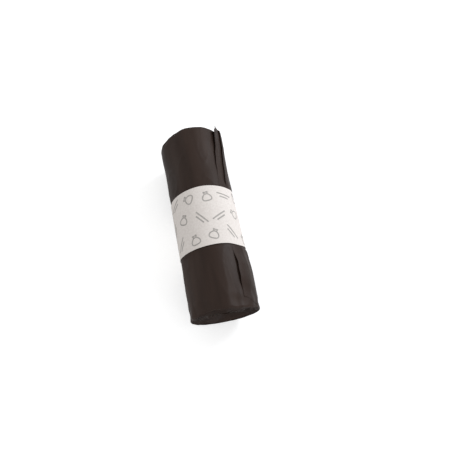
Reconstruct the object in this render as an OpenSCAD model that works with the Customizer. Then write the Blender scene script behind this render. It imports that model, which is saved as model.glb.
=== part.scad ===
// A roll of bin bags held by a paper band, lying on its side.
// The roll's axis runs along Y and its near end faces -Y.
// The floor is z = 0, and the origin lies on it under the middle of the roll.
// Angles round the roll are counted from its top, towards +X.

/* [Film roll] */
// Diameter of the wound film
roll_d = 64; // [50:1:80]
// Length of the roll: the folded width of the sacks, and a little for the turns' stagger
roll_len = 188; // [150:1:260]
// Turns of film that can be told apart at each end
turns = 12; // [8:1:14]
// Width of the hollow that the winding bar leaves in the middle
eye_d = 8; // [4:0.5:14]
// How much lower than wide the slack middle turns are, as a share
eye_slump = 0.35; // [0:0.05:0.5]
// Soft rounding where the side meets each end
rim_r = 2; // [1:0.5:4]
// Depth of the groove between two turns at the ends
groove_depth = 1.7; // [0.5:0.1:3]
// How far the middle of each end sinks in
dish_depth = 1.5; // [0:0.5:4]
// How unevenly the turns stand out at the ends
turn_stagger = 0.9; // [0:0.1:1.5]
// How far the far end leans out towards the tail's side
end_lean = 2.6; // [0:0.2:4]
// Width of the flat that the soft roll rests on
flat_w = 16; // [10:1:22]

/* [Soft side] */
// Height of the slow waves over the film
wave_h = 0.25; // [0:0.05:0.5]
// How far the band has drawn in the film next to it, on the near side
near_draw = 0.5; // [0:0.1:2]
// How much thicker the near stretch grows towards its end
near_swell = 0.25; // [0:0.05:1]
// How far the far stretch sinks in on the tail's side and bulges on the other
far_bend = 0.5; // [0:0.1:1.5]
// Height of the soft lengthwise fold on top of the near stretch
fold_h = 0.4; // [0:0.1:1]

/* [Loose tail] */
// Place of the tail's free edge, halfway along the roll
tail_angle = 34.5; // [30:0.5:50]
// Turn of the free edge from the near end to the far end
tail_skew = 5; // [-10:1:20]
// How much further the free edge turns over the far stretch
far_turn = 13; // [0:1:20]
// Thickness of the folded film at the tail
tail_t = 0.55; // [0.35:0.05:0.8]
// Arc over which the tail has come away from the turn below
tail_loose = 70; // [40:10:90]
// Slit under the tail's free edge where it is held down
tail_slit = 0.12; // [0.08:0.02:0.2]
// How far the tail stands off at the far end
far_lift = 3; // [0:0.1:4]
// How far the tail stands off in the middle of the near stretch
near_lift = 1.3; // [0:0.1:2]
// How far the tail has slid out past the far end
tail_poke = 5.5; // [0:0.5:8]
// How far the tail's near end stops short of the roll's
tail_recess = 8.5; // [0:0.5:12]
// Step where the tail's upper ply begins, behind the free edge
ply_step = 1.2; // [0:0.1:1.6]

/* [Paper band] */
// Width of the band along the roll
band_w = 60; // [35:1:80]
// Shift of the band's middle from the roll's middle, towards the near end
band_shift = 6; // [0:1:12]
// Thickness of the paper
band_t = 0.15; // [0.1:0.05:0.4]
// Length of the glued overlap of the paper's two ends
band_lap = 13; // [8:1:20]
// Angle round the roll at which the overlap begins
lap_angle = 205; // [195:1:260]
// How far the band presses the film in
band_pinch = 0.3; // [0.1:0.1:1]
// Clearance between the film and the paper
band_gap = 0.1; // [0.05:0.05:0.2]

/* [Hidden] */
$fn = 96;

roll_r = roll_d / 2;
half_len = roll_len / 2;

// The band's walls, and the height of the roll's axis over the floor
band_in_r = roll_r - band_pinch + band_gap;
band_out_r = band_in_r + band_t;
axis_z = sqrt(pow(band_out_r, 2) - pow(flat_w / 2, 2));
band_near_y = -band_shift - band_w / 2;
band_far_y = -band_shift + band_w / 2;
near_len = band_near_y + half_len;
far_len = half_len - band_far_y;

// Film next to the band is drawn in over this length before the band's edge
tuck_len = 4;
// The far end's lean fades out over this length
lean_len = 18;
// The winding is followed at this many points a turn, of which the first lie over the loose tail.
// Point ply_first lies just before the upper ply's edge, and the next one just behind it.
steps = 38;
loose_steps = 8;
ply_first = 2;
loose_turn = tail_loose / 360;
// The tail has slid along the roll over less of that arc
slide_turn = 0.85 * loose_turn;
// Turns over which the winding goes from the tail's thickness to a full bundle
blend_turns = 1;
bundle_t = (roll_r - eye_d / 2 - tail_t * (1 + blend_turns / 2)) / (turns - blend_turns / 2);
last = steps * turns;
inmost = last + steps;

// A smooth step from 0 at a to 1 at b
function ramp(a, b, x) =
    let (t = max(0, min(1, (x - a) / (b - a))))
    t * t * (3 - 2 * t);
function mix(a, b, t) = a + (b - a) * t;
// A hump that is 1 halfway from a to b and 0 at both
function hump(a, b, x) = ramp(a, (a + b) / 2, x) * (1 - ramp((a + b) / 2, b, x));

// 1 where the band covers the film, 0 well clear of it
function covered(y) = ramp(-tuck_len, -1, min(y - band_near_y, band_far_y - y));
// How much of each side's effect an angle takes: 1 at that side, 0 at the other
function tail_side(a) = (1 + sin(a)) / 2;
function far_side(a) = 1 - tail_side(a);

// 0 over the band and the near stretch, growing to 1 at the far end
function far_share(y) = max(0, min(1, (y - band_far_y) / far_len));
// The free edge's angle, and the angle of the winding u turns in from it
function edge_angle(y) = tail_angle + tail_skew * y / roll_len + far_turn * pow(far_share(y), 1.3);
function wind_angle(u, y) = edge_angle(y) + 360 * u;

// Radius of the winding's outer face, u turns in from the tail's free edge
function wind_r(u) =
    let (v = max(0, u - 1))
    let (w = min(v, blend_turns))
    roll_r - tail_t * (min(u, 1) + w)
        - (bundle_t - tail_t) * w * w / (2 * blend_turns)
        - bundle_t * max(0, v - blend_turns);

// How far the tail's free edge stands off, along the roll
function lift(y) =
    far_lift * (0.25 * ramp(0, 0.1, (y - band_far_y) / far_len)
        + 0.75 * pow(ramp(band_far_y, half_len + tail_poke, y), 2))
    + near_lift * ramp(0, 0.4, (band_near_y - y) / near_len)
        * (1 - 0.6 * ramp(0.75, 1, (band_near_y - y) / near_len));
// The share of that lift left u turns behind the free edge
function loose(u) = ramp(0, 1, 1 - u / loose_turn);
// The open slit under the tail
function slit(u, y) = tail_slit * max(0, 1 - u / loose_turn) + lift(y) * loose(u);
// How far the loose tail has slid along the roll, with its corner turned a little
function slide(u, y) =
    (tail_poke * ramp(band_far_y, half_len, y) * ramp(0, 0.04, u)
        + tail_recess * ramp(band_near_y, -half_len, y) * (1 - 0.35 * ramp(0, 0.06, u)))
    * ramp(0, 1, 1 - u / slide_turn);
// The upper ply's edge shows over the far stretch, this many turns behind the free edge
function ply_share(y) = ramp(0, 10, y - band_far_y);
function ply_turn(y) = mix(0.042, 0.07, far_share(y));

// Turns from the free edge to point i: the points are even but for those along the ply's edge
function turn_at(i, y) =
    let (k = i % steps)
    let (before = ply_turn(y) - 0.003)
    let (behind = ply_turn(y) + 0.004)
    floor(i / steps) + (
        k <= ply_first ? before * k / ply_first
        : k <= loose_steps
            ? mix(behind, loose_turn, (k - ply_first - 1) / (loose_steps - ply_first - 1))
            : mix(loose_turn, 1, (k - loose_steps) / (steps - loose_steps))
    );

// The soft form of the film's side: slow waves, bent and drawn-in stretches and a fold
function waves(a, y) = wave_h * (0.6 * sin(2 * a + 2.1 * y) + 0.4 * sin(5 * a - 3.4 * y));
function near_form(a, y) =
    let (d = (band_near_y - y) / near_len)
    near_swell * ramp(0, 1, d) - near_draw * far_side(a) * ramp(0, 0.05, d) * (1 - ramp(0.05, 0.7, d));
function far_form(a, y) =
    let (d = (y - band_far_y) / far_len)
    far_bend * (far_side(a) * hump(0.3, 1.1, d) - tail_side(a) * hump(0, 0.9, d));
function fold_form(a, y) =
    fold_h * pow(max(0, cos(a + 2)), 30) * ramp(0.2, 0.7, (band_near_y - y) / near_len);
function side_form(a, y) =
    (1 - covered(y)) * (waves(a, y) + near_form(a, y) + far_form(a, y) + fold_form(a, y));

// The quarter round of the rim: how far the radius is in at a distance from the end's plane.
// By symmetry it is also how far the end is in at a distance from the side.
function rim_in(dist) = rim_r - sqrt(max(0, pow(rim_r, 2) - pow(max(0, rim_r - dist), 2)));
// The side stops at this distance from the end's plane, and the end's turns begin there
rim_end = rim_r / 4;
end_scale = 1 - rim_in(rim_end) / roll_r;

// How far the far end leans out at an angle
function lean(share, a, y) =
    end_lean * share * sin(a + 30) * ramp(half_len - lean_len, half_len, y);

// A point of the film: its radius before softening, its angle, its place along the roll,
// its distance from the end's plane, and 1 where it hangs free of the rounded rim or 0
function film_point(r, a, y, dist, free = 0) =
    let (share = r / roll_r)
    let (squeezed = r - band_pinch * covered(y) * share)
    let (soft = squeezed + side_form(a, y) * share * share)
    let (rimmed = soft * (1 - rim_in(dist) * (1 - free) / roll_r))
    let (slump = 1 - eye_slump * pow(1 - share, 2))
    let (lowest = (band_t + band_gap) * covered(y) + max(0, roll_r - r) / 2)
    [
        rimmed * sin(a),
        y + lean(share, a, y),
        max(lowest, axis_z + rimmed * cos(a) * slump)
    ];

// How far point i stands up over the upper ply's edge
function ply_up(i, y) =
    i <= ply_first
        ? 0
        : ply_step * ply_share(y) * mix(0.6, 1, far_share(y)) * (1 - ramp(0.1, 0.9, turn_at(i, y)));
// Outer face of the winding, and the underside of the loose tail, at point i
function outer_r(i, y) =
    let (u = turn_at(i, y))
    wind_r(u) + lift(y) * loose(u) + ply_up(i, y);
function under_r(i, y) =
    let (u = turn_at(i, y))
    wind_r(u + 1) + slit(u, y);
// A point of the loose tail, which has slid along the roll and may hang past its rim
function tail_point(r, i, y) =
    let (u = turn_at(i, y))
    let (slid = y + slide(u, y))
    let (dist = max(rim_end, half_len - abs(slid)))
    film_point(r, wind_angle(u, y), slid, dist, y > 0 ? loose(u) : 0);
// A point of the winding, or of the tail where it is loose
function wind_point(r, i, y, dist) =
    i < loose_steps ? tail_point(r, i, y) : film_point(r, wind_angle(turn_at(i, y), y), y, dist);

// How far out an end stands at the winding's point i, at a share of the way to the turn inside it
function crest_y(side, i, share) =
    let (k = turn_at(i, side * half_len))
    let (u = k + share)
    let (r = wind_r(min(u, turns + 1)))
    half_len
        - rim_in(roll_r - r * end_scale)
        - dish_depth * pow(1 - r / roll_r, 2)
        + turn_stagger * ramp(1, 2.5, u)
            * (0.5 * sin(73 * k + side * 50) + 0.3 * sin(1080 * u + 95 * k) - 0.7);
// How far out the winding's outer face ends at point i: at the rim, or deep in a groove
function groove_y(side, i) =
    let (u = turn_at(i, side * half_len))
    let (thick = wind_r(max(0, u - 1)) - wind_r(u))
    let (deep = crest_y(side, i, 0) - min(groove_depth, 0.75 * thick))
    mix(half_len - rim_end, deep, ramp(1 + loose_turn, 1.3 + loose_turn, u));

// The rows of the side: three on each rim, then evenly over film, band and film
function spread(a, b, n) = [for (k = [0 : n - 1]) mix(a, b, k / n)];
rows = concat(
    [for (d = [rim_end, rim_r * 0.45, rim_r]) half_len - d],
    spread(half_len - 2 * rim_r, band_far_y + tuck_len, 6),
    [band_far_y + tuck_len, band_far_y + 1],
    spread(band_far_y - 4, band_near_y, 4),
    [band_near_y - 1, band_near_y - tuck_len],
    spread(band_near_y - tuck_len - near_len / 8, -half_len + 2 * rim_r, 5),
    [for (d = [2 * rim_r, rim_r, rim_r * 0.45, rim_end]) d - half_len]
);
last_row = len(rows) - 1;

// Ends are numbered 0 for the far one and 1 for the near one
function end_side(e) = e == 0 ? 1 : -1;
function end_row_y(e, i) = end_side(e) * groove_y(end_side(e), i);
function end_outer(e, i) =
    let (y = end_row_y(e, i))
    wind_point(outer_r(i, y), i, y, rim_end);
function end_under(e, i) =
    let (y = end_row_y(e, i))
    tail_point(under_r(i, y), i, y);
// The rounded crest of a turn has three points between its two grooves
crest_at = [0.2, 0.5, 0.8];
crest_dip = [0.3, 0, 0.3];
function end_crest(e, i, k) =
    let (turn = turn_at(i, end_side(e) * half_len))
    let (thick = wind_r(turn) - wind_r(turn + 1))
    let (dip = crest_dip[k] * min(groove_depth, 0.75 * thick) * ramp(1, 2, turn))
    let (y = end_side(e) * (crest_y(end_side(e), i, crest_at[k]) - dip))
    let (inner = i < loose_steps ? under_r(i, y) : wind_r(turn + 1))
    wind_point(mix(outer_r(i, y), inner, crest_at[k]), i, y, rim_end);

// Points in order: both ends' windings, undersides and crests, the side's rows, the eye's rows
winding_n = inmost + 1;
crest_n = len(crest_at) * (last + 1);
end_n = winding_n + loose_steps + crest_n;
loop_n = steps + 2 * loose_steps + 1;
side_start = 2 * end_n;
eye_rows = 3;
eye_start = side_start + (last_row - 1) * loop_n;

function winding_id(e, i) = e * end_n + i;
function under_id(e, i) = e * end_n + winding_n + i;
function crest_id(e, i, k) = e * end_n + winding_n + loose_steps + i * len(crest_at) + k;
function inner_id(e, i) = i < loose_steps ? under_id(e, i) : winding_id(e, i + steps);
// The loop round the side runs over the roll, in under the tail and back out along its underside
function loop_id(row, i) =
    let (back = loop_n - 1 - i)
    row == 0 || row == last_row
        ? (i <= steps + loose_steps ? winding_id(row == 0 ? 0 : 1, i) : under_id(row == 0 ? 0 : 1, back))
        : side_start + (row - 1) * loop_n + i;
function eye_id(row, i) =
    row == 0 ? winding_id(0, last + i)
    : row == eye_rows ? winding_id(1, last + i)
    : eye_start + (row - 1) * (steps + 1) + i;

function end_points(e) = concat(
    [for (i = [0 : inmost]) end_outer(e, i)],
    [for (i = [0 : loose_steps - 1]) end_under(e, i)],
    [for (i = [0 : last], k = [0 : len(crest_at) - 1]) end_crest(e, i, k)]
);
function side_point(y, i) =
    let (back = loop_n - 1 - i)
    i <= steps + loose_steps
        ? wind_point(outer_r(i, y), i, y, half_len - abs(y))
        : tail_point(under_r(back, y), back, y);
roll_points = concat(
    end_points(0),
    end_points(1),
    [for (row = [1 : last_row - 1], i = [0 : loop_n - 1]) side_point(rows[row], i)],
    [for (row = [1 : eye_rows - 1], i = [0 : steps])
        let (y = mix(half_len, -half_len, row / eye_rows))
        wind_point(outer_r(last + i, y), last + i, y, rim_r)]
);

// Two triangles for a four-cornered patch, cut along its first diagonal or its second
function patch(a, b, c, d) = [[a, b, c], [a, c, d]];
function patch_other(a, b, c, d) = [[a, b, d], [b, c, d]];
function facing(e, faces) = e == 0 ? faces : [for (f = faces) [f[2], f[1], f[0]]];

function section_ids(e, i) = concat(
    [winding_id(e, i)],
    [for (k = [0 : len(crest_at) - 1]) crest_id(e, i, k)],
    [inner_id(e, i)]
);
function fan(ids) = [for (k = [1 : len(ids) - 2]) [ids[0], ids[k], ids[k + 1]]];
function end_faces(e) = concat(
    [for (i = [0 : last - 1])
        let (a = section_ids(e, i), b = section_ids(e, i + 1))
        for (k = [0 : len(a) - 2])
            each facing(e, patch(a[k], a[k + 1], b[k + 1], b[k]))],
    facing(1 - e, fan(section_ids(e, 0))),
    facing(e, fan(section_ids(e, last)))
);
side_faces = [for (row = [0 : last_row - 1], i = [0 : loop_n - 1])
    let (j = (i + 1) % loop_n)
    each i < steps + loose_steps
        ? patch(loop_id(row, i), loop_id(row, j), loop_id(row + 1, j), loop_id(row + 1, i))
        : patch_other(loop_id(row, i), loop_id(row, j), loop_id(row + 1, j), loop_id(row + 1, i))];
eye_faces = [for (row = [0 : eye_rows - 1], i = [0 : steps])
    let (j = (i + 1) % (steps + 1))
    each patch(eye_id(row + 1, i), eye_id(row + 1, j), eye_id(row, j), eye_id(row, i))];

// The wound film: one solid with a groove between its turns at both ends,
// a loose tail along its side and a flat where it rests
module bag_roll() {
    color([0.23, 0.2, 0.19])
        polyhedron(
            points = roll_points,
            faces = concat(end_faces(0), end_faces(1), side_faces, eye_faces),
            convexity = 10
        );
}

// The outline of the band at a radius, cut flat at a height under the axis
module band_outline(r, flat_z) {
    intersection() {
        circle(r);
        translate([-2 * r, flat_z])
            square([4 * r, 4 * r]);
    }
}

// The second layer of paper over the glued overlap
module lap_outline() {
    lap_arc = band_lap / band_out_r * 180 / PI;
    lap_mid = lap_angle + lap_arc / 2;
    far = 2 * band_out_r;
    intersection() {
        difference() {
            circle(band_out_r + band_t);
            circle(band_out_r - band_t / 2);
        }
        polygon([
            [0, 0],
            [far * sin(lap_angle), far * cos(lap_angle)],
            [far * 1.2 * sin(lap_mid), far * 1.2 * cos(lap_mid)],
            [far * sin(lap_angle + lap_arc), far * cos(lap_angle + lap_arc)]
        ]);
    }
}

// The paper strip wrapped round the film, with its two ends glued over each other
module paper_band() {
    color([0.89, 0.86, 0.85])
        translate([0, band_far_y, axis_z])
            rotate([90, 0, 0])
                linear_extrude(height = band_w)
                    union() {
                        difference() {
                            band_outline(band_out_r, -axis_z);
                            band_outline(band_in_r, band_t - axis_z);
                        }
                        lap_outline();
                    }
}

bag_roll();
paper_band();
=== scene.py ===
import math

import bmesh
import bpy
import numpy as np
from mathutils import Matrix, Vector, noise


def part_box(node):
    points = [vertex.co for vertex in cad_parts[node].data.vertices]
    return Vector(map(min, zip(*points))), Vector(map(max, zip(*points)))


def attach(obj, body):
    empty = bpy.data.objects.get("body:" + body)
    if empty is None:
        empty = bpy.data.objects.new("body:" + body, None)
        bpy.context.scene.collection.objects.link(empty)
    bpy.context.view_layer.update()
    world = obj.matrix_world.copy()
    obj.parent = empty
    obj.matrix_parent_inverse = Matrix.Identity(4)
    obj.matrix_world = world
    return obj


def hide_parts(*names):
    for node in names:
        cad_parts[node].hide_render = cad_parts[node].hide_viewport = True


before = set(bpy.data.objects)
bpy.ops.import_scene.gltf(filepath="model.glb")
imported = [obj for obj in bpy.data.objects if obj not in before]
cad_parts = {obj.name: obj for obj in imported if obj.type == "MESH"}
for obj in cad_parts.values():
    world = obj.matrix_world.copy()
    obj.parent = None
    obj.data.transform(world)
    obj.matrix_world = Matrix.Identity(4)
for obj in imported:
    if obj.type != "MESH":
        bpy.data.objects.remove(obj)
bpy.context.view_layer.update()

# A roll of bin bags with a paper band round it, lying on its side along Y.
# Lengths are metres. Angles round the roll are counted from its top, towards +X.
# The near end is the one towards -Y, and the far end the one towards +Y.

MM = 0.001
TAU = 2 * math.pi

# The roll and the band, from the frame, with the flat that they rest on and the paper's thickness.
# Beside the band the film stands out a little further than the paper.
roll_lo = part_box("bag_roll")[0]
band_lo, band_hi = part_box("paper_band")
FLAT_W = 16 * MM
BAND_T = 0.15 * MM
BAND_R = (band_hi[0] - band_lo[0]) / 2
AXIS_Z = math.sqrt(BAND_R**2 - (FLAT_W / 2) ** 2)
FILM_OUT = 0.05 * MM
ROLL_R = BAND_R + FILM_OUT
HALF_LEN = -roll_lo[1]
BAND_NEAR = band_lo[1]
BAND_FAR = band_hi[1]
BAND_W = BAND_FAR - BAND_NEAR
NEAR_LEN = BAND_NEAR + HALF_LEN
FAR_LEN = HALF_LEN - BAND_FAR

# The film's winding: columns of points to a turn, turns, the hollow in the middle and its slump,
# the tail's thickness, and over how many turns it grows to that of the turns inside
STEPS = 160
TURNS = 34
EYE_R = 4 * MM
EYE_SLUMP = 0.35
TAIL_T = 0.4 * MM
BLEND_TURNS = 2

# Under the band: the film's height over the floor, how far the band draws it in, and over what
# length it comes out again
FLOOR_GAP = BAND_T + 0.1 * MM
PINCH = 0.35 * MM
TUCK_LEN = 2.5 * MM

# The ends: the rim's rounding, how far the middle sinks in, and the grooves between turns
RIM_R = 2 * MM
RIM_END = RIM_R / 4
DISH = 1.5 * MM
GROOVE = 0.9 * MM

# How far the ends stray from square, and over what length of the side that fades. The far end
# leans. The near end lies back below and out on the tail's side, where its outer turns reach
# further still, from this share of the radius on.
END_FADE = 18 * MM
FAR_LEAN = 2.6 * MM
FAR_BULGE = 0.5 * MM
NEAR_BULGE = -0.9 * MM
NEAR_BACK = 0.4 * MM
NEAR_OUT = 0.9 * MM
NEAR_CRUMPLE = 1.5 * MM
NEAR_REACH = 3.5 * MM
OUTER_SHARE = 0.68

# The relief of the turns' ends: waves from turn to turn, bundles of turns, crumples, lumps, and how
# far in all of it lies
TURN_WAVE = 0.55 * MM
BUNDLE_WAVE = 0.8 * MM
CREST_CRUMPLE = 0.9 * MM
CREST_LUMPS = 1.5 * MM
CREST_IN = 0.9 * MM

# The lengthwise crease on top: its angle over the near and the far stretch, its height, and how much
# flatter the film lies beside it
CREASE_NEAR = math.radians(-2)
CREASE_FAR = math.radians(-10)
CREASE_UP = 1.1 * MM
STEEP_W = 5 * MM
GENTLE_W = 14 * MM
FLATTER = 0.9 * MM

# The side's soft form: how far its waves go, how far it is drawn in beside the band, how far it
# swells at the ends and beside the band on the tail's side, and a groove low on that side
WAVE = 0.25 * MM
DRAWN_IN = 0.5 * MM
FAR_SWELL = 0.9 * MM
NEAR_SWELL = 0.25 * MM
TAIL_SWELL = 0.9 * MM
LOW_GROOVE = 0.5 * MM

# The side's wrinkles, with more crumples towards the ends and lumps at the near one
DENTS = 0.3 * MM
CREASES = 0.26 * MM
CRUMPLES = 0.06 * MM
END_CRUMPLES = 0.3 * MM
NEAR_LUMPS = 1.3 * MM

# The tail's free edge: its angle halfway along, its skew over the roll, how much further it turns
# over the far stretch and near the band on the near one, and its waver
TAIL_ANGLE = math.radians(34.5)
TAIL_SKEW = math.radians(5)
FAR_TURN = math.radians(13)
NEAR_TURN = math.radians(1.5)
WAVER = math.radians(0.5)

# The tail's loose arc, the slit under it, and how far its edge stands off over both stretches
LOOSE_STEPS = 31
LOOSE_TURN = LOOSE_STEPS / STEPS
TAIL_SLIT = 0.14 * MM
FAR_LIFT = 3.0 * MM
NEAR_LIFT = 1.8 * MM

# How far the tail has slid past the far end, how its corner there is bowed out and blunted, and how
# far it has slid back from the near end
TAIL_POKE = 5.5 * MM
POKE_BOW = 1.8 * MM
CORNER_CUT = 1.5 * MM
TAIL_RECESS = 8.5 * MM

# The tail's upper ply begins a little way behind the free edge over the far stretch. These columns
# of points gather there, each this many turns on from the ply's edge.
PLY_COLUMNS = (5, 6, 7, 8, 9, 10, 11)
PLY_TURNS = (-0.006, -0.001, 0.011, 0.011, 0.0, 0.0, 0.003)
PLY_END = 40
# How many millimetres the film stands up over the ply, by column
PLY_AT = (6, 7, 8, 9, 10, 11, 20, 40, 80, 140)
PLY_UP = (0.0, 0.0, 0.6, 1.1, 1.5, 1.45, 0.9, 0.75, 0.45, 0.0)
# Between the tail's front strip and that edge the film sags by this share of its lift
SAG = 0.5
SAG_WALL = 0.007

# The film's mesh: places and depths of the points across a turn's end, and rows along the roll
CREST_AT = np.array([0.2, 0.5, 0.8])
CREST_DIP = np.array([0.3, 0.0, 0.3])
LAST = STEPS * TURNS
INMOST = LAST + STEPS
ROW_GAP = 1.3 * MM
EYE_ROWS = 14
SHARP_DEGREES = 50

# The paper band: its mesh, the overlap's length and place, and how unevenly it lies
BAND_COLUMNS = 360
BAND_ROWS = 40
LAP = 13 * MM
LAP_ANGLE = math.radians(205)
LAP_LIFT = 1.05 * BAND_T
BAND_WAVER = 0.2 * MM
BAND_BULGE = 0.12 * MM
# How far its edges stray along the roll: the near one out beside the tail's edge and in on both
# sides, the far one out on top, a little more towards the tail, and most on the tail's side
NEAR_SLANT_OUT = 1.1 * MM
NEAR_SLANT_IN = 1.1 * MM
FAR_SLANT_TOP = 0.9 * MM
FAR_SLANT_MORE = 0.3 * MM
FAR_SLANT_SIDE = 2.4 * MM

# The print: outlines of tied sacks and pairs of strokes, in millimetres, in a half-drop layout
PRINT_COLUMNS = 11
PRINT_ROWS = 3
PRINT_LIFT = 0.03 * MM
PRINT_TURNS = (-24, 31, 8, -52, 63, -9, 47)
SACK = ((-3.6, -4.4), (-4.7, -1.6), (-3.2, 1.2), (-1.0, 2.6), (-2.4, 5.0), (0, 4.2))
TIE = ((-1.9, 2.6), (1.9, 2.6))
LONG_STROKE = ((-8.0, 1.6), (8.0, 1.6))
SHORT_STROKE = ((-5.0, -1.6), (5.0, -1.6))
OUTLINE_W = 1.2
STROKE_W = 1.4
LONGEST_STEP = 1.5

# The photograph's camera, from the fit to the roll's outlines
CAMERA_AIM = (0.01833, -0.00665, 0.031)
CAMERA_DISTANCE = 0.41816
CAMERA_AZIMUTH = math.radians(-11.672)
CAMERA_ELEVATION = math.radians(65.616)
CAMERA_LENS = 33.45

# The lamps: name, place, aim, size and power of each. Their light is slightly cool.
LAMPS = (
    ("key", (0.75, 0.34, 0.50), (0, 0, 0.03), 0.35, 3.8),
    ("fill", (0.6, -0.75, 0.2), (0, -0.03, 0.03), 0.25, 1.4),
)
LAMP_COLOUR = (0.95, 0.985, 1.04)
WORLD_FILL = 0.69
FLOOR_GLOW = 0.52
FLOOR_REACH = 4.0


def ramp(a, b, x):
    """A smooth step from 0 at a to 1 at b."""
    t = np.clip((x - a) / (b - a), 0, 1)
    return t * t * (3 - 2 * t)


def mix(a, b, t):
    return a + (b - a) * t


def hump(a, b, x):
    """A hump that is 1 halfway from a to b and 0 at both."""
    mid = (a + b) / 2
    return ramp(a, mid, x) * (1 - ramp(mid, b, x))


def wrap(a):
    """An angle brought between half a turn either way."""
    return np.mod(a + math.pi, TAU) - math.pi


def noise_at(x, y, z, seed):
    """Smooth noise from -1 to 1 at each point of three arrays."""
    x, y, z = np.broadcast_arrays(x, y, z)
    points = zip(x.ravel(), y.ravel(), z.ravel())
    values = [noise.noise(Vector((px + seed, py - seed, pz))) for px, py, pz in points]
    return np.array(values).reshape(x.shape)


def crease_at(x, y, z, seed, sharp):
    """Thin creases, 1 on the crease and 0 away from it, where smooth noise passes through zero."""
    return np.clip(1 - np.abs(noise_at(x, y, z, seed)) * sharp, 0, 1) ** 2


def into_near(y):
    """How far into the near stretch: 0 at the band's edge and 1 at the roll's end."""
    return (BAND_NEAR - y) / NEAR_LEN


def into_far(y):
    """The same for the far stretch."""
    return (y - BAND_FAR) / FAR_LEN


def covered(y):
    """1 where the band covers the film, 0 well clear of it."""
    return ramp(-TUCK_LEN, -1 * MM, np.minimum(y - BAND_NEAR, BAND_FAR - y))


def far_share(y):
    """0 over the band and the near stretch, growing to 1 at the far end."""
    return np.clip(into_far(y), 0, 1)


def edge_angle(y):
    """The angle of the tail's free edge, with the slight waver of a torn film."""
    waver = WAVER * (np.sin(y * 190) + 0.6 * np.sin(y * 431 + 1.3))
    turn = TAIL_SKEW * y / (2 * HALF_LEN) + FAR_TURN * far_share(y) ** 1.3
    turn += NEAR_TURN * ramp(0, 0.3, into_near(y))
    return TAIL_ANGLE + turn + waver * (1 - covered(y))


def wind_angle(u, y):
    """The angle u turns in from the free edge."""
    return edge_angle(y) + TAU * u


BUNDLE_T = (ROLL_R - EYE_R - TAIL_T * (1 + BLEND_TURNS / 2)) / (TURNS - BLEND_TURNS / 2)


def wind_r(u):
    """Radius of the winding's outer face, u turns in from the free edge."""
    v = np.maximum(0, u - 1)
    w = np.minimum(v, BLEND_TURNS)
    thin = TAIL_T * (np.minimum(u, 1) + w)
    thicker = (BUNDLE_T - TAIL_T) * w * w / (2 * BLEND_TURNS)
    return ROLL_R - thin - thicker - BUNDLE_T * np.maximum(0, v - BLEND_TURNS)


def lift(y):
    """How far the tail's free edge stands off, along the roll."""
    beyond_band = ramp(0.15, 0.5, into_far(y))
    at_end = ramp(BAND_FAR, HALF_LEN + TAIL_POKE, y) ** 2
    near = into_near(y)
    held = 1 - 0.97 * ramp(0.65, 0.92, near)
    return FAR_LIFT * mix(at_end, beyond_band, 0.25) + NEAR_LIFT * ramp(0.08, 0.4, near) * held


def loose(u):
    """The share of the lift left u turns behind the free edge."""
    return ramp(0, 1, 1 - u / LOOSE_TURN)


def slide(u, y):
    """How far the loose tail has slid along the roll, past the far end and back from the near one."""
    corner = CORNER_CUT * (1 - ramp(0.002, 0.017, u)) * ramp(HALF_LEN - 8 * MM, HALF_LEN, y)
    poke = TAIL_POKE + POKE_BOW * hump(0.01, 0.12, u)
    far = poke * ramp(BAND_FAR, HALF_LEN, y) * ramp(0.001, 0.024, u) - corner
    near = TAIL_RECESS * ramp(BAND_NEAR, -HALF_LEN, y) * (1 - 0.35 * ramp(0, 0.06, u))
    return (far + near) * ramp(0, 1, 1 - u / (0.85 * LOOSE_TURN))


def ply_turn(y):
    """How many turns behind the free edge the tail's upper ply begins."""
    return mix(0.042, 0.07, far_share(y))


def strip_turn(y):
    """How many turns behind the free edge the tail's front strip ends and the sag begins."""
    return mix(0.027, 0.018, far_share(y))


def ply_share(y):
    """1 over the far stretch, where the upper ply's edge shows, and 0 elsewhere."""
    return ramp(BAND_FAR, BAND_FAR + 10 * MM, y)


def hang(u, y):
    """How far the loose tail stands off the roll, with the sag before the upper ply."""
    begins = ramp(0, 1, (u - strip_turn(y)) / SAG_WALL)
    ends = ramp(0, 1, (u - ply_turn(y)) / 0.02)
    return lift(y) * loose(u) * (1 - SAG * begins * (1 - ends) * ply_share(y))


def beside_band(y):
    """1 under the band and just beside it, where the tail clings to the roll."""
    return 1 - ramp(0.1, 0.3, into_near(y)) - ramp(0.2, 0.55, into_far(y))


def near_edge(y):
    """1 along the tail's near edge, which clings to the roll too."""
    return ramp(0.75, 0.95, into_near(y))


def slit(u, y):
    """The gap under the loose tail."""
    shut = 1 - 0.8 * np.maximum(beside_band(y), near_edge(y))
    return TAIL_SLIT * shut * np.maximum(0, 1 - u / LOOSE_TURN) + hang(u, y)


def thinned(u, y):
    """How much thinner the tail is where it clings, beside the band and along its near edge."""
    clings = 0.7 * beside_band(y) + 0.8 * near_edge(y) * ramp(0.005, 0.03, u)
    return TAIL_T * clings * loose(u)


def column_turn(i, y):
    """Turns from the free edge to column i: some columns gather along the upper ply's edge."""
    i, y = np.broadcast_arrays(i, y)
    even = i / STEPS
    edge = ply_turn(y)
    strip = strip_turn(y)
    places = (0, 3, 4, *PLY_COLUMNS, PLY_END)
    front = [0 * y, strip, strip + SAG_WALL]
    turns = [*front, *[edge + turn for turn in PLY_TURNS], PLY_END / STEPS + 0 * y]
    gathered = even.copy()
    for k in range(len(places) - 1):
        inside = (i >= places[k]) & (i <= places[k + 1])
        t = (i - places[k]) / (places[k + 1] - places[k])
        gathered = np.where(inside, mix(turns[k], turns[k + 1], t), gathered)
    return mix(even, gathered, ply_share(y))


def ply_up(i, y):
    """How far column i stands up over the upper ply's edge."""
    grow = mix(0.7, 1.15, far_share(y))
    return MM * np.interp(i, PLY_AT, PLY_UP) * ply_share(y) * grow


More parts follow.
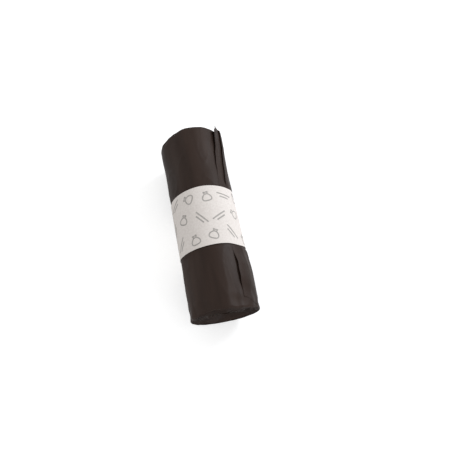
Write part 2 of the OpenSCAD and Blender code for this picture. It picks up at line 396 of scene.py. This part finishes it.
def swells(a, near, far):
    """Where the side is drawn in or swells, at an angle and how far into the near and far stretches."""
    right = (1 + np.sin(a)) / 2
    left = 1 - right
    form = FAR_SWELL * left * hump(0.5, 1.25, far) + NEAR_SWELL * ramp(0, 1, near)
    form -= DRAWN_IN * left * ramp(0, 0.05, near) * (1 - ramp(0.05, 0.7, near))
    form -= DRAWN_IN * right * hump(0, 0.9, far)
    form -= LOW_GROOVE * hump(1.05, 1.35, a) * hump(0.05, 0.6, near)
    form += TAIL_SWELL * hump(0.9, 2.3, a) * ramp(0, 0.08, near) * (1 - ramp(0.3, 0.9, near))
    return form


def top_crease(a, y, near):
    """The lengthwise crease on top, steeper away from the tail, where the film also lies flatter."""
    crease_angle = mix(CREASE_NEAR, CREASE_FAR, ramp(BAND_NEAR, BAND_FAR, y))
    from_crease = wrap(a - crease_angle) * ROLL_R
    steep = ramp(-STEEP_W, 0, from_crease)
    gentle = 1 - ramp(0, GENTLE_W, from_crease)
    ridge = CREASE_UP * np.where(from_crease < 0, steep, gentle)
    return ridge * mix(0.75, 1, ramp(0.1, 0.4, near)) - FLATTER * hump(-1.45, -0.2, a)


def wrinkles(a, y):
    """Dents and fine creases, with more crumples towards both ends and lumps at the near one."""
    x, z = ROLL_R * np.sin(a), ROLL_R * np.cos(a)
    end = ramp(HALF_LEN - 22 * MM, HALF_LEN, np.abs(y))
    near_end = ramp(HALF_LEN - 20 * MM, HALF_LEN - 5 * MM, -y)
    form = DENTS * noise_at(x * 55, y * 38, z * 55, 3.1)
    form += CREASES * crease_at(x * 70, y * 24, z * 70, 8.7, 7)
    form += (CRUMPLES + END_CRUMPLES * end) * noise_at(x * 190, y * 120, z * 190, 5.5)
    form += NEAR_LUMPS * near_end * noise_at(x * 105, y * 95, z * 105, 12.3)
    return form


def side_form(a, y):
    """The soft form of the film's side."""
    a = wrap(a)
    waves = WAVE * (0.6 * np.sin(2 * a + 37 * y) + 0.4 * np.sin(5 * a - 59 * y))
    near = into_near(y)
    form = waves + swells(a, near, into_far(y)) + top_crease(a, y, near) + wrinkles(a, y)
    return form * (1 - covered(y))


def rim_in(dist):
    """How far the quarter round of the rim is in, at a distance from the end's plane or the side."""
    return RIM_R - np.sqrt(np.maximum(0, RIM_R**2 - np.maximum(0, RIM_R - dist) ** 2))


END_SCALE = 1 - rim_in(RIM_END) / ROLL_R


def near_rim(x, z, share, a):
    """How far back the near end's outer turns lie: crumpled on top, reaching out on the tail's side."""
    t = np.clip((share - OUTER_SHARE) / (1 - OUTER_SHARE), 0, 1)
    crumple = NEAR_CRUMPLE * noise_at(x * 130, 3.0, z * 130, 14.1) * ramp(0, 1, t)
    reach = NEAR_REACH * (1 - np.sqrt(1 - 0.99 * t * t)) * hump(-0.5, 1.7, wrap(a))
    return crumple * ramp(-0.1, 0.6, np.cos(a)) - reach


def end_shift(x, z, share, a, y):
    """How far the ends stray along the roll: the far one leans, and both bulge unevenly."""
    bulge = noise_at(x * 40, np.sign(y) * 7, z * 40, 1.9)
    far = FAR_BULGE * bulge + FAR_LEAN * share * np.sin(a + math.radians(30))
    round_a = np.mod(a, TAU)
    back = NEAR_BACK * hump(2.2, 3.6, round_a) - NEAR_OUT * hump(0.7, 2.4, round_a)
    near = NEAR_BULGE * bulge + share * back + near_rim(x, z, share, a)
    return np.where(y > 0, far, near) * ramp(HALF_LEN - END_FADE, HALF_LEN, np.abs(y))


def film_points(r, a, y, dist, free):
    """Points of the film from radius, angle, place along the roll and distance from the end's plane.
    Where the film hangs free of the roll's rounded rim, free is 1."""
    share = r / ROLL_R
    soft = r - PINCH * covered(y) * share + side_form(a, y) * share**2
    rimmed = soft * (1 - rim_in(dist) * (1 - free) / ROLL_R)
    slump = 1 - EYE_SLUMP * (1 - share) ** 2
    lowest = FLOOR_GAP * covered(y) + np.maximum(0, ROLL_R - r) / 2
    x = rimmed * np.sin(a)
    z = np.maximum(lowest, AXIS_Z + rimmed * np.cos(a) * slump)
    return np.stack([x, y + end_shift(x, z, share, a, y), z], axis=-1)


def outer_polar(i, y):
    """Turns, radius and angle of the winding's outer face at column i."""
    u = column_turn(i, y)
    r = wind_r(u) + hang(u, y) + ply_up(i, y) - thinned(u, y)
    return u, r, wind_angle(u, y)


def under_polar(i, y):
    """The same for the loose tail's underside."""
    u = i / STEPS
    return u, wind_r(u + 1) + slit(u, y), wind_angle(u, y)


def wind_points(u, r, a, y, dist):
    """Points of the winding. The loose tail's have slid along the roll and may hang past its rim."""
    tail = u < LOOSE_TURN
    slid = np.where(tail, y + slide(u, y), y)
    dist = np.where(tail, np.maximum(RIM_END, HALF_LEN - np.abs(slid)), dist)
    free = np.where(tail, loose(u) * (y > 0), 0)
    return film_points(r, a, slid, dist, free)


def outer_points(i, y, dist):
    return wind_points(*outer_polar(i, y), y, dist)


def under_points(i, y, dist):
    return wind_points(*under_polar(i, y), y, dist)


def crest_y(side, u, share, a):
    """How far out an end stands at a share of the way from one turn to the one inside it."""
    r = wind_r(np.minimum(u + share, TURNS + 1))
    x, z = r * np.sin(a), r * np.cos(a)
    relief = TURN_WAVE * noise_at(u * 1.7, side * 11.0, u * 0, 4.2) - CREST_IN
    relief += BUNDLE_WAVE * noise_at(u * 0.31, side * 5.0, a * 0, 2.4)
    relief += CREST_CRUMPLE * noise_at(x * 120, side * 3.0, z * 120, 7.7)
    relief += CREST_LUMPS * noise_at(x * 62, side * 4.0, z * 62, 3.3)
    inner = DISH * (1 - r / ROLL_R) ** 2
    return HALF_LEN - rim_in(ROLL_R - r * END_SCALE) - inner + relief * ramp(1, 3, u)


def groove_y(side, u, a):
    """How far out the winding's outer face ends: at the rim, or deep in the groove between turns."""
    rim = HALF_LEN - RIM_END
    r = wind_r(u)
    uneven = noise_at(r * np.sin(a) * 90, side * 9.0, r * np.cos(a) * 90, 6.1)
    thick = wind_r(np.maximum(0, u - 1)) - wind_r(u)
    deep = crest_y(side, u, 0, a) - np.minimum(GROOVE, 1.1 * thick) * (0.75 + 0.55 * uneven)
    return mix(rim, deep, ramp(1 + LOOSE_TURN, 1.3 + LOOSE_TURN, u))


def side_rows():
    """Places along the roll of the side's rows, from the far end to the near one."""
    rim = [HALF_LEN - d for d in (RIM_END, RIM_R * 0.35, RIM_R * 0.5, RIM_R * 0.7, RIM_R)]
    inmost = HALF_LEN - 1.4 * RIM_R
    middle = np.linspace(inmost, -inmost, round(2 * inmost / ROW_GAP))
    return np.concatenate([rim, middle, [-y for y in reversed(rim)]])


class MeshBlocks:
    """Gathers a mesh's points and faces. Each block of points is an array of the ids it was given."""

    def __init__(self):
        self.points = []
        self.faces = []
        self.count = 0

    def add(self, points):
        """Adds an array of points and returns their ids in the same shape."""
        shape = points.shape[:-1]
        flat = points.reshape(-1, 3)
        ids = np.arange(self.count, self.count + len(flat)).reshape(shape)
        self.points.append(flat)
        self.count += len(flat)
        return ids

    def quads(self, grid, closed=False):
        """Adds a face for each patch of a grid of ids. A closed grid's columns go round."""
        right = np.roll(grid, -1, axis=1) if closed else grid[:, 1:]
        left = grid if closed else grid[:, :-1]
        patches = np.stack([left[:-1], right[:-1], right[1:], left[1:]], axis=-1)
        self.faces += patches.reshape(-1, 4).tolist()

    def mesh(self, name):
        mesh = bpy.data.meshes.new(name)
        mesh.from_pydata(np.concatenate(self.points).tolist(), [], self.faces)
        mesh.update()
        return mesh


def crest_points(side):
    """Points across each turn's end, at the crest's places between its outer face and its inner one."""
    i, share = np.broadcast_arrays(np.arange(LAST + 1)[:, None], CREST_AT)
    u = i / STEPS
    thick = wind_r(u) - wind_r(u + 1)
    dip = CREST_DIP * np.minimum(GROOVE, 0.9 * thick) * ramp(1, 2, u)
    y = side * (crest_y(side, u, share, wind_angle(u, side * HALF_LEN)) - dip)
    _, top_r, top_a = outer_polar(i, y)
    _, under_r, under_a = under_polar(i, y)
    return wind_points(u, mix(top_r, under_r, share), mix(top_a, under_a, share), y, RIM_END)


def end_blocks(winding, side):
    """Adds one end's points and faces, and gives back its outer edge and the loose tail's inner one."""
    i = np.arange(INMOST + 1)
    u = i / STEPS
    y = side * groove_y(side, u, wind_angle(u, side * HALF_LEN))
    outer = winding.add(outer_points(i, y, RIM_END))
    under = winding.add(under_points(i[:LOOSE_STEPS], y[:LOOSE_STEPS], RIM_END))
    crest = winding.add(crest_points(side))
    inner = np.concatenate([under, outer[LOOSE_STEPS + STEPS : INMOST + 1]])
    sections = np.column_stack([outer[: LAST + 1], crest, inner])
    winding.quads(sections)
    winding.faces.append(sections[0].tolist())
    winding.faces.append(sections[-1].tolist())
    return outer, under


def film_mesh():
    """The wound film as one closed mesh: the side with the slit under the tail, both ends, the eye."""
    winding = MeshBlocks()
    ends = [end_blocks(winding, 1), end_blocks(winding, -1)]
    seen = STEPS + LOOSE_STEPS + 1
    loops = [np.concatenate([outer[:seen], under[::-1]]) for outer, under in ends]
    y = side_rows()[1:-1, None]
    dist = HALF_LEN - np.abs(y)
    over = outer_points(np.arange(seen)[None, :], y, dist)
    back = under_points(np.arange(LOOSE_STEPS)[None, ::-1], y, dist)
    rows = winding.add(np.concatenate([over, back], axis=1))
    winding.quads(np.vstack([loops[0][None, :], rows, loops[1][None, :]]), closed=True)
    y = np.linspace(HALF_LEN, -HALF_LEN, EYE_ROWS)[1:-1, None]
    eye = winding.add(outer_points(np.arange(LAST, INMOST + 1)[None, :], y, RIM_R))
    winding.quads(np.vstack([ends[0][0][None, LAST:], eye, ends[1][0][None, LAST:]]), closed=True)
    return winding.mesh("film")


def link(name, mesh, node=None):
    """Makes a piece of the object from a mesh, in place of a node where one is named."""
    piece = bpy.data.objects.new(name, mesh)
    bpy.context.scene.collection.objects.link(piece)
    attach(piece, "root")
    if node:
        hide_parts(node)


def smooth(mesh):
    """Turns the faces outwards and shades them smooth, with sharp edges kept sharp."""
    work = bmesh.new()
    work.from_mesh(mesh)
    bmesh.ops.recalc_face_normals(work, faces=work.faces)
    work.to_mesh(mesh)
    work.free()
    mesh.polygons.foreach_set("use_smooth", [True] * len(mesh.polygons))
    mesh.set_sharp_from_angle(angle=math.radians(SHARP_DEGREES))


def band_slant(a, v):
    """How far the band's two edges stray along the roll, as the paper was wound on not quite square."""
    a = wrap(a)
    near = -NEAR_SLANT_OUT * hump(0.4, 1.35, a)
    near += NEAR_SLANT_IN * ramp(1.0, 1.6, np.abs(a)) * (1 - ramp(1.9, 2.8, np.abs(a)))
    far = FAR_SLANT_TOP * hump(-1.1, 0.9, a) + FAR_SLANT_MORE * hump(0, 1.5, a)
    far += FAR_SLANT_SIDE * ramp(0.85, 1.45, a) * (1 - ramp(1.7, 2.8, a))
    return np.where(v < 0.5, near, far)


def band_surface(a, v, offset):
    """A point on the band's outer face at angle a and share v of its width, lifted by offset."""
    y = mix(BAND_NEAR, BAND_FAR, v)
    x, z = BAND_R * np.sin(a), BAND_R * np.cos(a)
    edge = BAND_WAVER * noise_at(x * 60, np.round(v) * 9.0, z * 60, 2.2) + band_slant(a, v)
    y = y + edge * (2 * np.abs(v - 0.5)) ** 2
    bulge = BAND_BULGE * (1 + noise_at(x * 45, y * 45, z * 45, 9.4))
    free = ramp(0, 6 * MM, AXIS_Z + z)
    r = BAND_R + offset + bulge * free
    x = r * np.sin(a)
    z = AXIS_Z + r * np.cos(a)
    return np.stack([x, y + 0 * x, np.maximum(z, -offset)], axis=-1)


def lap_rise(along):
    """How far the paper's outer face stands out at an angle from its start, as it climbs over that."""
    return LAP_LIFT * ramp(TAU - math.radians(5), TAU - math.radians(0.5), along)


def band_mesh():
    """The paper strip: it starts under the overlap, goes once round and ends glued over its start."""
    along = np.linspace(0, TAU + LAP / BAND_R, BAND_COLUMNS + 1)[None, :]
    across = np.linspace(0, 1, BAND_ROWS + 1)[:, None]
    along, across = np.broadcast_arrays(along, across)
    a = LAP_ANGLE + along
    sheet = MeshBlocks()
    top = sheet.add(band_surface(a, across, lap_rise(along)))
    bottom = sheet.add(band_surface(a, across, lap_rise(along) - BAND_T))
    sheet.quads(top)
    sheet.quads(bottom)
    for edge in (0, -1):
        sheet.quads(np.stack([top[edge], bottom[edge]]))
        sheet.quads(np.stack([top[:, edge], bottom[:, edge]]))
    return sheet.mesh("paper")


def lap_over(a):
    """How far the band's outer face stands out at an angle, for the print on it."""
    along = np.mod(a - LAP_ANGLE, TAU)
    return np.maximum(lap_rise(along), LAP_LIFT * (along < LAP / BAND_R))


def rounded(points):
    """A closed outline with its corners cut twice."""
    line = np.array(points)
    for _ in range(2):
        after = np.roll(line, -1, axis=0)
        cut = np.stack([mix(line, after, 0.25), mix(line, after, 0.75)], axis=1)
        line = cut.reshape(-1, 2)
    return line


def split(line, closed):
    """The line with points no further apart than the longest step, so that it follows the band."""
    ends = np.roll(line, -1, axis=0) if closed else line[1:]
    starts = line if closed else line[:-1]
    points = []
    for start, end in zip(starts, ends):
        count = max(1, math.ceil(np.hypot(*(end - start)) / LONGEST_STEP))
        points += [mix(start, end, k / count) for k in range(count)]
    return np.array(points if closed else points + [line[-1]])


def ribbon(line, width, closed):
    """The two sides of a stroke along a line."""
    if closed:
        along = np.roll(line, -1, axis=0) - np.roll(line, 1, axis=0)
    else:
        along = np.gradient(line, axis=0)
    along = along / np.hypot(along[:, :1], along[:, 1:])
    out = np.stack([-along[:, 1], along[:, 0]], axis=1) * width / 2
    return line + out, line - out


def print_strokes():
    """Every stroke's line, its width and whether it is closed, for the sack and the pair of strokes."""
    sack = list(SACK) + [(-x, y) for x, y in reversed(SACK[:-1])]
    outline = (split(rounded(sack), True), OUTLINE_W, True)
    tie = (split(np.array(TIE), False), OUTLINE_W, False)
    pair = [np.array(line) for line in (LONG_STROKE, SHORT_STROKE)]
    return [outline, tie], [(split(line, False), STROKE_W, False) for line in pair]


def on_band(points, a, y):
    """Points in millimetres round a place on the band, laid just over its outer face."""
    a = a + points[:, 0] * MM / BAND_R
    v = np.clip((y + points[:, 1] * MM - BAND_NEAR) / BAND_W, 0.01, 0.99)
    return band_surface(a, v, PRINT_LIFT + lap_over(a))


def print_mesh():
    """The print as ribbons on the band: sacks and pairs of strokes by turns, each at its own slant."""
    sheet = MeshBlocks()
    motifs = print_strokes()
    for k in range(PRINT_COLUMNS * PRINT_ROWS):
        column, row = divmod(k, PRINT_ROWS)
        a = TAU * (column + 0.5 * (row % 2) + 0.2) / PRINT_COLUMNS
        y = BAND_NEAR + BAND_W / PRINT_ROWS * (row + 0.5 + 0.12 * math.sin(5 * k))
        turn = math.radians(PRINT_TURNS[(3 * column + row) % len(PRINT_TURNS)])
        spin = np.array([[math.cos(turn), math.sin(turn)], [-math.sin(turn), math.cos(turn)]])
        for line, width, closed in motifs[(column + row) % 2]:
            sides = [on_band(side @ spin, a, y) for side in ribbon(line, width, closed)]
            sheet.quads(sheet.add(np.stack(sides)), closed=closed)
    return sheet.mesh("print")


def principled(name):
    """A new material and its nodes: (material, nodes, links, shader)."""
    material = bpy.data.materials.new(name)
    material.use_nodes = True
    nodes = material.node_tree.nodes
    return material, nodes, material.node_tree.links, nodes["Principled BSDF"]


def noise_node(nodes, links, scale, detail, coords, stretch=(1, 1, 1)):
    """A noise texture over coordinates, stretched along the axes where their factor is small."""
    mapping = nodes.new("ShaderNodeMapping")
    mapping.inputs["Scale"].default_value = stretch
    links.new(coords, mapping.inputs["Vector"])
    texture = nodes.new("ShaderNodeTexNoise")
    texture.inputs["Scale"].default_value = scale
    texture.inputs["Detail"].default_value = detail
    links.new(mapping.outputs["Vector"], texture.inputs["Vector"])
    return texture


def ramp_node(nodes, links, value, stops):
    """A colour ramp over a value, from (place, colour) stops."""
    node = nodes.new("ShaderNodeValToRGB")
    elements = node.color_ramp.elements
    for k, (place, colour) in enumerate(stops):
        element = elements[k] if k < 2 else elements.new(place)
        element.position = place
        element.color = (*colour, 1)
    links.new(value, node.inputs["Fac"])
    return node


def film_material():
    """Dark, slightly warm polyethylene film with a soft sheen, fine creases and small dimples."""
    material, nodes, links, shader = principled("film")
    coords = nodes.new("ShaderNodeTexCoord").outputs["Object"]
    tint = noise_node(nodes, links, 60, 3, coords, (1, 0.15, 1))
    colour = ramp_node(nodes, links, tint.outputs["Fac"], [
        (0.3, (0.020, 0.0114, 0.0083)),
        (0.7, (0.039, 0.0237, 0.0180)),
    ])
    links.new(colour.outputs["Color"], shader.inputs["Base Color"])
    gloss = noise_node(nodes, links, 75, 4, coords, (1, 0.2, 1))
    rough = ramp_node(nodes, links, gloss.outputs["Fac"], [
        (0.3, (0.38, 0.38, 0.38)),
        (0.75, (0.54, 0.54, 0.54)),
    ])
    links.new(rough.outputs["Color"], shader.inputs["Roughness"])
    fine = noise_node(nodes, links, 420, 4, coords, (1, 0.35, 1))
    bump = nodes.new("ShaderNodeBump")
    bump.inputs["Strength"].default_value = 0.25
    bump.inputs["Distance"].default_value = 0.4 * MM
    links.new(fine.outputs["Fac"], bump.inputs["Height"])
    links.new(bump.outputs["Normal"], shader.inputs["Normal"])
    shader.inputs["Specular IOR Level"].default_value = 0.13
    return material


def paper_material():
    """Uncoated white paper, a little warm, with faint fibres."""
    material, nodes, links, shader = principled("band_paper")
    coords = nodes.new("ShaderNodeTexCoord").outputs["Object"]
    fibre = noise_node(nodes, links, 600, 5, coords)
    colour = ramp_node(nodes, links, fibre.outputs["Fac"], [
        (0.35, (0.745, 0.69, 0.65)),
        (0.65, (0.81, 0.76, 0.72)),
    ])
    links.new(colour.outputs["Color"], shader.inputs["Base Color"])
    bump = nodes.new("ShaderNodeBump")
    bump.inputs["Strength"].default_value = 0.15
    bump.inputs["Distance"].default_value = 0.1 * MM
    links.new(fibre.outputs["Fac"], bump.inputs["Height"])
    links.new(bump.outputs["Normal"], shader.inputs["Normal"])
    shader.inputs["Roughness"].default_value = 0.8
    shader.inputs["Specular IOR Level"].default_value = 0.3
    return material


def ink_material():
    """Faint grey ink, a little uneven."""
    material, nodes, links, shader = principled("ink")
    coords = nodes.new("ShaderNodeTexCoord").outputs["Object"]
    uneven = noise_node(nodes, links, 350, 3, coords)
    colour = ramp_node(nodes, links, uneven.outputs["Fac"], [
        (0.3, (0.36, 0.34, 0.32)),
        (0.7, (0.46, 0.435, 0.41)),
    ])
    links.new(colour.outputs["Color"], shader.inputs["Base Color"])
    shader.inputs["Roughness"].default_value = 0.75
    shader.inputs["Specular IOR Level"].default_value = 0.3
    return material


def add_floor():
    """A white floor that the camera sees as white apart from the object's soft shadow."""
    mesh = bpy.data.meshes.new("floor")
    far = FLOOR_REACH
    corners = [(-far, -far, 0), (far, -far, 0), (far, far, 0), (-far, far, 0)]
    mesh.from_pydata(corners, [], [(0, 1, 2, 3)])
    floor = bpy.data.objects.new("floor", mesh)
    bpy.context.scene.collection.objects.link(floor)
    material = bpy.data.materials.new("floor_white")
    material.use_nodes = True
    nodes, links = material.node_tree.nodes, material.node_tree.links
    nodes.clear()
    output = nodes.new("ShaderNodeOutputMaterial")
    diffuse = nodes.new("ShaderNodeBsdfDiffuse")
    diffuse.inputs["Color"].default_value = (0.8, 0.8, 0.8, 1)
    glow = nodes.new("ShaderNodeEmission")
    glow.inputs["Strength"].default_value = FLOOR_GLOW
    both = nodes.new("ShaderNodeAddShader")
    path = nodes.new("ShaderNodeLightPath")
    pick = nodes.new("ShaderNodeMixShader")
    links.new(diffuse.outputs[0], both.inputs[0])
    links.new(glow.outputs[0], both.inputs[1])
    links.new(path.outputs["Is Camera Ray"], pick.inputs["Fac"])
    links.new(diffuse.outputs[0], pick.inputs[1])
    links.new(both.outputs[0], pick.inputs[2])
    links.new(pick.outputs[0], output.inputs["Surface"])
    mesh.materials.append(material)


def add_world():
    """White where it is seen, directly or in a reflection, and a plain fill light otherwise."""
    world = bpy.data.worlds.new("studio")
    bpy.context.scene.world = world
    world.use_nodes = True
    nodes, links = world.node_tree.nodes, world.node_tree.links
    background = nodes["Background"]
    path = nodes.new("ShaderNodeLightPath")
    seen = nodes.new("ShaderNodeMath")
    seen.operation = "MAXIMUM"
    either = nodes.new("ShaderNodeMath")
    either.operation = "MAXIMUM"
    level = nodes.new("ShaderNodeMapRange")
    level.inputs["To Min"].default_value = WORLD_FILL
    level.inputs["To Max"].default_value = 1.0
    links.new(path.outputs["Is Camera Ray"], seen.inputs[0])
    links.new(path.outputs["Is Glossy Ray"], seen.inputs[1])
    links.new(seen.outputs[0], either.inputs[0])
    links.new(path.outputs["Is Transmission Ray"], either.inputs[1])
    links.new(either.outputs[0], level.inputs["Value"])
    links.new(level.outputs["Result"], background.inputs["Strength"])
    background.inputs["Color"].default_value = (1, 1, 1, 1)


def add_lamp(name, place, aim, size, power):
    """A square soft box at a place, turned towards a point."""
    lamp = bpy.data.lights.new(name, "AREA")
    lamp.size = size
    lamp.energy = power
    lamp.color = LAMP_COLOUR
    light = bpy.data.objects.new(name, lamp)
    light.location = place
    light.rotation_euler = (Vector(aim) - Vector(place)).to_track_quat("-Z", "Y").to_euler()
    bpy.context.scene.collection.objects.link(light)


def add_camera():
    """The photograph's camera, aimed at a point at its angle and distance, with no roll."""
    camera = bpy.data.cameras.new("camera")
    camera.sensor_width = 36
    camera.lens = CAMERA_LENS
    camera.clip_start = 0.01
    ob = bpy.data.objects.new("camera", camera)
    back = Vector((
        math.sin(CAMERA_AZIMUTH) * math.cos(CAMERA_ELEVATION),
        -math.cos(CAMERA_AZIMUTH) * math.cos(CAMERA_ELEVATION),
        math.sin(CAMERA_ELEVATION),
    ))
    ob.location = Vector(CAMERA_AIM) + back * CAMERA_DISTANCE
    ob.rotation_euler = back.to_track_quat("Z", "Y").to_euler()
    bpy.context.scene.collection.objects.link(ob)
    bpy.context.scene.camera = ob


def add_film():
    mesh = film_mesh()
    smooth(mesh)
    mesh.materials.append(film_material())
    link("film_roll", mesh, "bag_roll")


def add_band():
    mesh = band_mesh()
    smooth(mesh)
    mesh.materials.append(paper_material())
    link("band", mesh, "paper_band")
    marks = print_mesh()
    marks.materials.append(ink_material())
    link("band_print", marks)


add_camera()
add_film()
add_band()
add_floor()
add_world()
for lamp in LAMPS:
    add_lamp(*lamp)
bpy.context.scene.view_settings.view_transform = "Standard"
